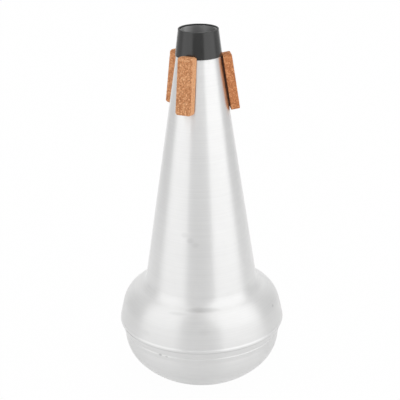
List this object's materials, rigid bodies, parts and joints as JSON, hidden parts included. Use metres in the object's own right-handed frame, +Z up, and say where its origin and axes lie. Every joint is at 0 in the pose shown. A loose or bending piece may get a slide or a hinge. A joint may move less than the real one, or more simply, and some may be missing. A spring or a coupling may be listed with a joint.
{
  "type": "trombone mute",
  "caption": "Hollow spun aluminium mute: long cone open at the neck, round bulb with a lapped seam and a closed bowl, a black neck sleeve and cork strips that grip the bell.",
  "frame": {"origin": "centre of the flat foot, on the surface that the mute stands on", "axes": "+Z up along the axis that the metal was spun about, from the foot to the open neck; -Y is the front, between the front strip and the right strip"},
  "size_m": [0.113, 0.113, 0.245],
  "materials": {
    "spun_aluminium": "satin, fine spinning lines round the axis",
    "black_sleeve": "soft black plastic, slightly glossy",
    "pressed_cork": "pressed cork granules, matt, with a sliced smoother side",
    "cork_glue": "dried brown contact glue",
    "seam_epoxy": "set epoxy, hidden in the lap"
  },
  "bodies": {
    "root": {"upper_shell": "spun_aluminium", "base_bowl": "spun_aluminium", "seam_bond": "seam_epoxy", "neck_sleeve": "black_sleeve", "cork_front": "pressed_cork", "cork_right": "pressed_cork", "cork_rear": "pressed_cork", "cork_glue_front": "cork_glue", "cork_glue_right": "cork_glue", "cork_glue_rear": "cork_glue"}
  },
  "joints": []
}
